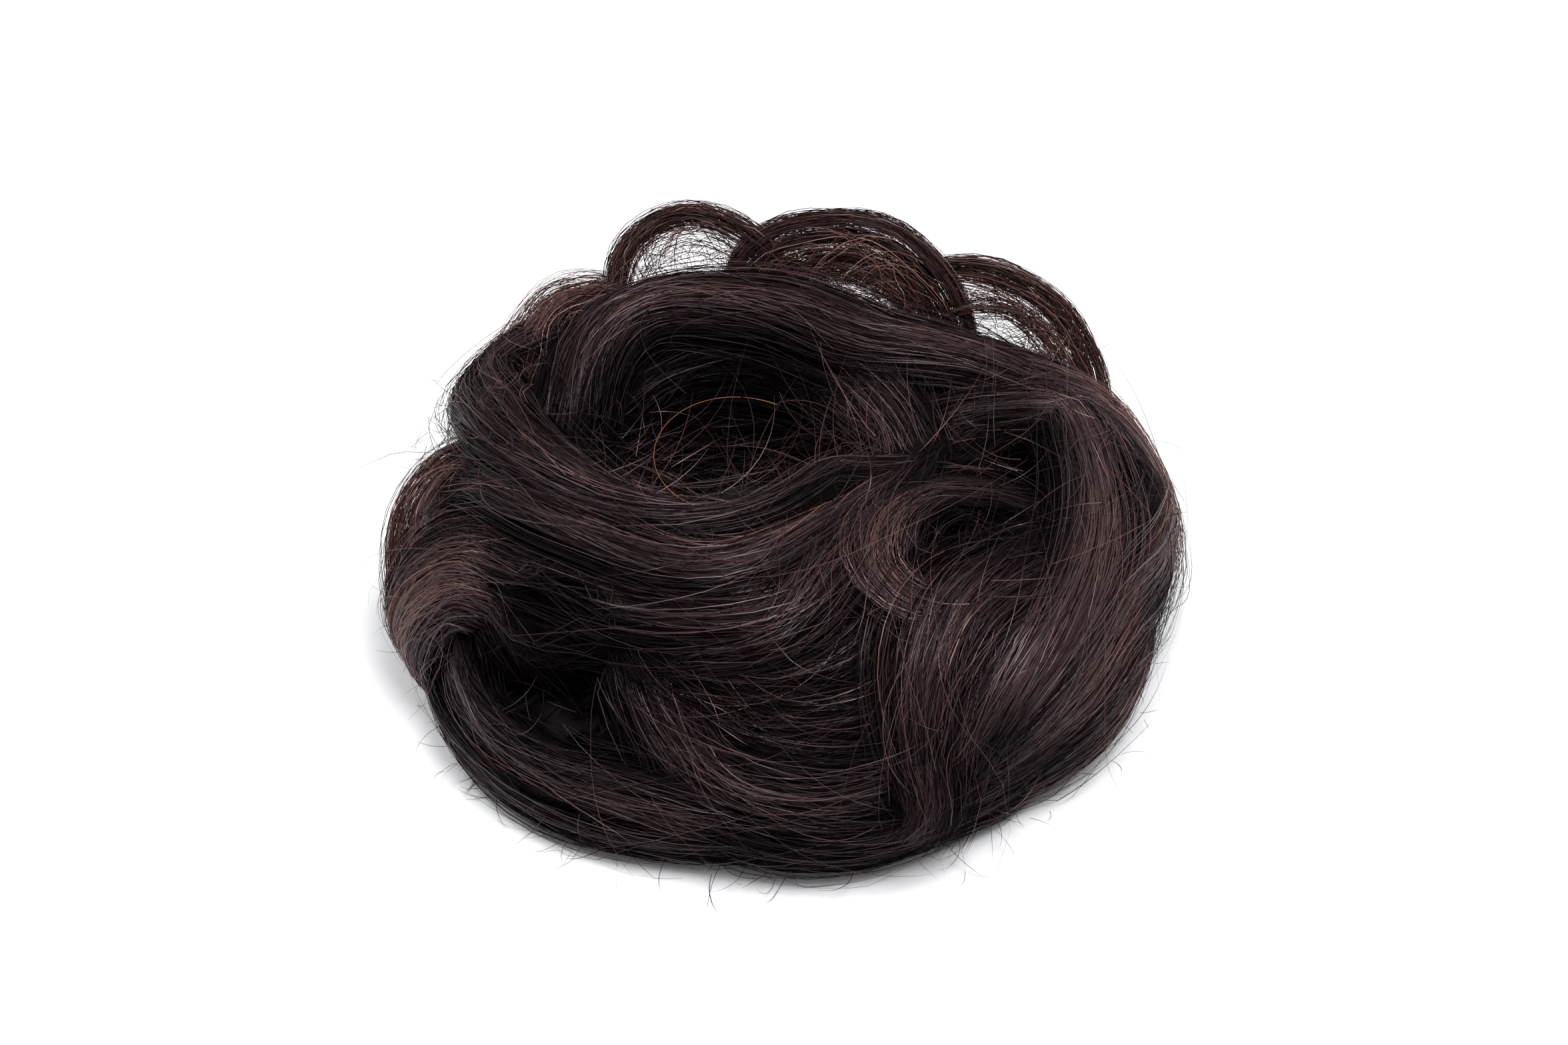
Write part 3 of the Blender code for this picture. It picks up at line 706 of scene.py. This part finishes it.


# Loops that stand off the back and the left side. Thin locks, pulled out by hand so that
# light shows through them, with stray hairs hanging inside. Their hair is painted lighter
# and redder than the other locks': painted light for the light that shines through it.

THIN_HAIR_WIDTH = 0.00012
THIN_HAIR_GLOSS = 0.40
# Painted light: lighter, redder colours for the light that shines through thin hair.
backlit_hair = hair_finish("backlit_hair", (
    (0.0060, 0.0036, 0.0042), (0.0190, 0.0098, 0.0102), (0.0480, 0.0225, 0.0215),
    (0.1030, 0.0460, 0.0410), (0.1750, 0.0800, 0.0660), (0.2700, 0.1300, 0.1020)),
    THIN_HAIR_GLOSS)
LOOP_LOCKS = (
    # name, width, thickness, what it arches round, hairs, veil hairs, depth of the veil,
    # tone, stations
    ("loop_left", 0.50, 0.60, "itself", 220, 110, 0.0050, 0.10,
     ((178, 0.68, 0.80), (182, 0.92, 0.74), (189, 1.04, 0.64), (196, 1.06, 0.46),
      (205, 1.00, 0.32), (215, 0.92, 0.30))),
    ("loop_back_left", 0.75, 0.70, "roll", 380, 240, 0.0035, 0.12,
     ((127, 0.86, 1.02), (138, 0.94, 1.02), (147, 0.92, 0.92), (157, 0.84, 0.80),
      (167, 0.76, 0.70))),
    ("loop_back", 0.60, 0.60, "itself", 300, 150, 0.0065, -0.04,
     ((126, 0.80, 0.92), (118, 0.98, 1.14), (105, 0.94, 1.26), (90, 0.80, 1.18),
      (80, 0.72, 0.96))),
    ("loop_crown", 0.70, 0.60, "itself", 500, 300, 0.0060, -0.16,
     ((98, 0.58, 0.92), (88, 0.78, 1.14), (73, 0.86, 1.22), (58, 0.90, 1.20),
      (46, 0.88, 1.02), (38, 0.84, 0.78))),
    ("loop_crown_inner", 0.60, 0.60, "itself", 300, 200, 0.0060, 0.12,
     ((89, 0.56, 0.92), (78, 0.74, 1.04), (65, 0.80, 1.08), (53, 0.82, 1.00),
      (44, 0.78, 0.82))),
    ("loop_right_outer", 0.55, 0.50, "itself", 320, 170, 0.0060, -0.06,
     ((50, 0.98, 1.04), (40, 1.06, 1.06), (32, 1.16, 0.92), (26, 1.18, 0.70),
      (20, 1.10, 0.50))),
    ("loop_right_inner", 0.55, 0.50, "itself", 90, 70, 0.0050, 0.05,
     ((40, 0.84, 0.96), (35, 1.00, 0.92), (29, 1.08, 0.76), (23, 1.04, 0.60))),
)

LOOP_RIBS = 9
LOOP_POINTS = 18
LEG_SHARE = 0.6
LEG_START = (0.10, 0.60)
LEG_LENGTH = (0.18, 0.34)
LEG_FALL = (0.8, 2.0)
VEIL_DROP = (0.1, 1.0)
VEIL_TONE = 0.20
FRIZZ = 0.00035


def hair_loop(name, width, thickness, around, hairs, veils, depth, lighter, stations):
    """A loop: a band of hairs along the arch and a veil of hairs inside it."""
    rng = np.random.default_rng(zlib.crc32(name.encode()))
    line, _, facing = lock_guide(stations, around)
    head, tail = tucked_ends(line, facing)
    line = evenly(np.vstack([head[1:], line, tail[:2]]), LINE_POINTS)[0]
    _, side, away = facing(line)
    at = np.linspace(0, 1, LINE_POINTS)
    wide, thick = width * LOCK_WIDTH / 2, thickness * LOCK_THICKNESS / 2
    count = hairs + veils
    veil = np.arange(count) >= hairs
    leg = veil & (rng.random(count) < LEG_SHARE)
    share = np.linspace(0, 1, LOOP_POINTS)[None]
    first = rng.uniform(0, 0.12, count)
    last = rng.uniform(0.88, 1.0, count)
    forward = rng.random(count) < 0.5
    first = np.where(leg, rng.uniform(*LEG_START, count), first)
    last = np.where(leg, first + rng.uniform(*LEG_LENGTH, count), last)
    first, last = np.where(leg & forward, last, first), np.where(leg & forward, first, last)
    t = first[:, None] + (last - first)[:, None] * share
    ease = np.sin(np.clip(np.minimum(t, 1 - t) / 0.3, 0, 1) * math.pi / 2)
    rib = rng.integers(0, LOOP_RIBS, count)
    offset = rng.uniform(-1, 1, LOOP_RIBS)[rib] + rng.normal(0, 0.16, count)
    sway = np.sin(2 * math.pi * (rng.uniform(0.4, 1.2, LOOP_RIBS)[rib][:, None] * t
                                 + rng.random(LOOP_RIBS)[rib][:, None]))
    across = (offset[:, None] * np.where(veil, 1.5, 1.0)[:, None] + 0.20 * sway
              + rng.normal(0, 0.5, (count, 1)) * (t - 0.5))
    up = (rng.uniform(-0.7, 1.0, LOOP_RIBS)[rib][:, None] + rng.normal(0, 0.25, (count, 1))
          - 0.3 * across ** 2)
    drop = np.where(veil & ~leg, rng.uniform(*VEIL_DROP, count) * depth, 0)[:, None] * ease
    fall = np.where(leg, rng.uniform(*LEG_FALL, count) * depth, 0)[:, None] * share ** 1.6
    frizz = rng.normal(0, FRIZZ, (count, 1)) * np.sin(
        2 * math.pi * (rng.uniform(1.5, 4, (count, 1)) * share + rng.random((count, 1))))
    offset = wide * across * (0.5 + 0.5 * ease) + frizz
    height = thick * up * (0.5 + 0.5 * ease) - drop - fall + frizz
    paths = (follow(line, at, t) + follow(side, at, t) * offset[..., None]
             + follow(away, at, t) * height[..., None])
    ways = unit(rng.normal(0, 1, (count, 1, 3)) + 0 * paths)
    tip = np.clip((1.05 - share) / 0.2, 0.2, 1)
    broad = THIN_HAIR_WIDTH * rng.uniform(0.7, 1.2, (count, 1)) * tip
    tone = rng.beta(2.0, 2.6, (count, 1)) - 0.10 + np.where(veil[:, None], VEIL_TONE, lighter)
    tone = np.clip(tone, 0.02, 0.98)
    piece = join(name + "_hair", backlit_hair, [ribbons(paths, ways, broad, tone)])
    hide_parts(name)
    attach(piece, "root")


for row in LOOP_LOCKS:
    hair_loop(*row)


# Loose hairs. Single hairs that have slipped out of the locks: long ones that lie
# slantwise over them, short ends that curl into the hole and the hollows, and ends
# that stand out at the edge or reach down to the table.

LOOSE_WIDTH = 0.000085
SLANTING_POINTS = 12
SLANTING_LENGTH = (0.008, 0.034)
SLANTING_ABOVE = 0.35
SLANTING_COUNTS = (50, 24)
SLANTING_TONES = (0.35, 0.85)
CURLING_POINTS = 10


def loose_piece(name, finish, paths, tone):
    """Single hairs as one piece, each thinner towards its tip."""
    count, points = paths.shape[:2]
    paths[..., 2] = np.maximum(paths[..., 2], LOWEST_HAIR)
    share = np.linspace(0, 1, points)[None]
    ways = unit(rng.normal(0, 1, (count, 1, 3)) + 0 * paths)
    tip = np.clip((1.1 - share) / 0.5, 0.25, 1)
    broad = LOOSE_WIDTH * rng.uniform(0.8, 1.3, (count, 1)) * tip
    piece = join(name, finish, [ribbons(paths, ways, broad, tone)])
    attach(piece, "root")


def slanting_hairs(width, thickness, stations):
    """Hairs that leave a lock's course at a slant, more of them on the upper locks."""
    line, length, facing = lock_guide(stations, "roll")
    _, side, away = facing(line)
    at = np.linspace(0, 1, len(line))
    share = np.linspace(0, 1, SLANTING_POINTS)[None]
    count = SLANTING_COUNTS[0] if stations[0][2] > SLANTING_ABOVE else SLANTING_COUNTS[1]
    reach = rng.uniform(*SLANTING_LENGTH, (count, 1))
    first = rng.uniform(0, 1, (count, 1)) * np.maximum(1 - reach / length, 0.1)
    t = np.clip(first + reach / length * share, 0, 1)
    t = np.where(rng.random((count, 1)) < 0.5, t, t[:, ::-1])
    offset = rng.uniform(-1, 1, (count, 1)) * width * LOCK_WIDTH / 2
    slant = rng.normal(0, 0.30, (count, 1)) * share + rng.normal(0, 0.30, (count, 1)) * share ** 2
    height = (thickness * LOCK_THICKNESS / 2 * (1.03 - 0.2 * (2 * offset / width / LOCK_WIDTH) ** 2)
              + rng.gamma(1.2, 0.0009, (count, 1)) * share ** 2
              + rng.gamma(1.2, 0.0005, (count, 1)) * np.sin(math.pi * share))
    return (follow(line, at, t) + follow(side, at, t) * (offset + reach * slant)[..., None]
            + follow(away, at, t) * height[..., None])


def curling_hairs(count, bearing, reach, rise, heading, spread, climb, length, bend):
    """Short hairs that spring from a stretch of the bun and curl round."""
    start = place(*(rng.uniform(*stretch, count) for stretch in (bearing, reach, rise)))
    out = unit((start - hole_axis) * (1, 1, 0))
    turn = np.radians(heading + rng.normal(0, spread, count))[:, None]
    around = np.cross((0, 0, 1), out)
    ahead = unit(np.cos(turn) * out + np.sin(turn) * around
                 + rng.uniform(*climb, (count, 1)) * (0, 0, 1))
    sideways = unit(np.cross(ahead, rng.normal(0, 1, (count, 3))))
    radius = rng.uniform(*bend, (count, 1, 1))
    share = np.linspace(0, 1, CURLING_POINTS)[None, :, None]
    angle = rng.uniform(*length, (count, 1, 1)) * share / radius
    return (start[:, None] + radius * (np.sin(angle) * ahead[:, None]
                                       + (1 - np.cos(angle)) * sideways[:, None]))


rng = np.random.default_rng(23)
paths = np.concatenate([
    slanting_hairs(width, thickness, stations) for _, width, thickness, *_, stations
    in CROWN_LOCKS + SWEEP_LOCKS + FRONT_LOCKS + RIGHT_LOCKS + BACK_LOCKS])
# Painted shade: these hairs are darker in the hole and the hollows.
tone = rng.uniform(*SLANTING_TONES, (len(paths), 1)) * light_in(paths) ** 0.8
loose_piece("hairs_over_the_locks", hair, paths, tone)

CURLING_HAIRS = (
    # name, finish, tone, count, bearing, reach, rise, heading, spread, climb, length, bend;
    # tone is low in the left hollow as painted shade and high at the curls as painted highlight
    ("hairs_in_the_hole", hair, 0.52, 230, (-205, 15), (-0.06, 0.20), (0.50, 1.02), 180, 65,
     (-0.3, 0.5), (0.006, 0.020), (0.005, 0.020)),
    ("hairs_over_the_rim", hair, 0.68, 230, (-150, -10), (0.02, 0.36), (0.94, 1.04), 110, 55,
     (0.0, 0.3), (0.008, 0.026), (0.010, 0.040)),
    ("hairs_left_of_the_hole", hair, 0.45, 120, (-215, -150), (0.10, 0.75), (0.85, 1.02), 200, 70,
     (0.0, 0.7), (0.004, 0.012), (0.005, 0.020)),
    ("hairs_in_the_left_hollow", hair, 0.26, 90, (-138, -103), (0.50, 0.98), (0.36, 0.66), 90, 50,
     (-0.1, 0.5), (0.006, 0.014), (0.006, 0.018)),
    ("hairs_at_the_curls", hair, 0.66, 320, (-72, 15), (0.25, 0.85), (0.92, 1.06), 150, 90,
     (0.0, 0.4), (0.006, 0.024), (0.007, 0.030)),
    ("hairs_at_the_front_edge", hair, 0.25, 150, (-165, -55), (0.94, 1.03), (0.04, 0.40), -10, 60,
     (-0.3, 0.4), (0.004, 0.011), (0.003, 0.010)),
    ("hairs_at_the_right_edge", hair, 0.30, 120, (-60, 30), (0.93, 1.04), (0.05, 0.70), 10, 60,
     (-0.3, 0.5), (0.002, 0.006), (0.004, 0.014)),
    ("hairs_at_the_back_edge", backlit_hair, 0.45, 300, (30, 215), (0.90, 1.04), (0.10, 0.98), 0, 70,
     (-0.2, 0.6), (0.002, 0.006), (0.004, 0.012)),
    ("frizz_behind_the_crown", backlit_hair, 0.48, 520, (40, 195), (0.55, 1.00), (0.90, 1.06), 90, 40,
     (-0.1, 0.4), (0.004, 0.010), (0.005, 0.014)),
    ("hairs_on_the_table", hair, 0.20, 26, (-130, -84), (0.96, 1.02), (0.01, 0.10), -5, 30,
     (-0.3, 0.0), (0.006, 0.011), (0.005, 0.012)),
    ("brush_on_the_table", hair, 0.15, 16, (-136, -131), (0.98, 1.03), (0.02, 0.08), 15, 16,
     (-0.2, 0.1), (0.003, 0.006), (0.008, 0.020)),
)
for name, finish, tone, *values in CURLING_HAIRS:
    paths = curling_hairs(*values)
    loose_piece(name, finish, paths, tone * rng.uniform(0.4, 1.4, (len(paths), 1)))


# Copper hair. One long hair of a lighter colour, as some are mixed into the wefts. It has
# worked loose and lies in a ring over the left edge of the hole.

COPPER_RING = (0.0155, 0.0195)
COPPER_FORWARD = 0.009
COPPER_ARC = (72, 268)
COPPER_HEIGHTS = (0.034, 0.042)
COPPER_POINTS = 40
COPPER_WIDTH = 0.00009
COPPER_FACING = (0.3, -0.7, 0.6)
COPPER_TONE = 0.5
copper = hair_finish("copper_hair", (
    (0.20, 0.070, 0.035), (0.30, 0.110, 0.050), (0.24, 0.085, 0.040)), HAIR_GLOSS)
turn = np.radians(np.linspace(*COPPER_ARC, COPPER_POINTS))
ring = np.stack([COPPER_RING[0] * np.cos(turn), COPPER_RING[1] * np.sin(turn) - COPPER_FORWARD,
                 np.linspace(*COPPER_HEIGHTS, COPPER_POINTS)], -1) + hole_axis
ways = np.broadcast_to(COPPER_FACING, (1, COPPER_POINTS, 3))
widths = np.full((1, COPPER_POINTS), COPPER_WIDTH)
piece = join("copper_hair", copper, [ribbons(ring[None], ways, widths, COPPER_TONE)])
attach(piece, "root")


# Table top, light and camera. The hairpiece lies on a smooth white board, lit by a large
# soft lamp over it, a weaker one at the left and the white walls of a studio.

TABLE_SIZE = 4
TABLE_ROUGHNESS = 0.6
BOARD_GREY = (0.91, 0.915, 0.93, 1)
BOARD_WHITE = (0.94, 0.945, 0.96, 1)
STUDIO_LIGHT = 0.42
LAMPS = (
    # name, place, power, width
    ("key", (0.22, -0.28, 1.00), 11.4, 0.50),
    ("left", (-0.60, 0.10, 0.80), 4.5, 0.45))
LENS = 85
SENSOR_WIDTH = 36
CLIP_START = 0.01
CAMERA_RISE = math.radians(40)
CAMERA_DISTANCE = 0.617
AIM = (0.0001, 0.0003, 0.026)

bpy.ops.mesh.primitive_plane_add(size=TABLE_SIZE, location=(0, 0, 0))
floor = bpy.context.object
floor.name = "table_top"
white = bpy.data.materials.new("white_table")
white.use_nodes = True
nodes, links = white.node_tree.nodes, white.node_tree.links
grain = nodes.new("ShaderNodeTexNoise")
grain.inputs["Scale"].default_value = 40.0
pale = nodes.new("ShaderNodeValToRGB")
pale.color_ramp.elements[0].color = BOARD_GREY
pale.color_ramp.elements[1].color = BOARD_WHITE
links.new(grain.outputs["Fac"], pale.inputs["Fac"])
links.new(pale.outputs["Color"], nodes["Principled BSDF"].inputs["Base Color"])
nodes["Principled BSDF"].inputs["Roughness"].default_value = TABLE_ROUGHNESS
floor.data.materials.append(white)

world = bpy.data.worlds.new("studio")
bpy.context.scene.world = world
world.use_nodes = True
world.node_tree.nodes["Background"].inputs["Color"].default_value = (1, 1, 1, 1)
world.node_tree.nodes["Background"].inputs["Strength"].default_value = STUDIO_LIGHT

for name, spot, power, width in LAMPS:
    light = bpy.data.lights.new(name, "AREA")
    light.energy = power
    light.size = width
    lamp = bpy.data.objects.new(name, light)
    lamp.location = spot
    lamp.rotation_euler = (-lamp.location).to_track_quat("-Z", "Y").to_euler()
    bpy.context.scene.collection.objects.link(lamp)

view = bpy.data.cameras.new("camera")
view.lens = LENS
view.sensor_width = SENSOR_WIDTH
view.clip_start = CLIP_START
camera = bpy.data.objects.new("camera", view)
camera.location = (AIM[0], AIM[1] - CAMERA_DISTANCE * math.cos(CAMERA_RISE),
                   AIM[2] + CAMERA_DISTANCE * math.sin(CAMERA_RISE))
camera.rotation_euler = (math.pi / 2 - CAMERA_RISE, 0, 0)
bpy.context.scene.collection.objects.link(camera)
bpy.context.scene.camera = camera
bpy.context.scene.view_settings.view_transform = "Standard"
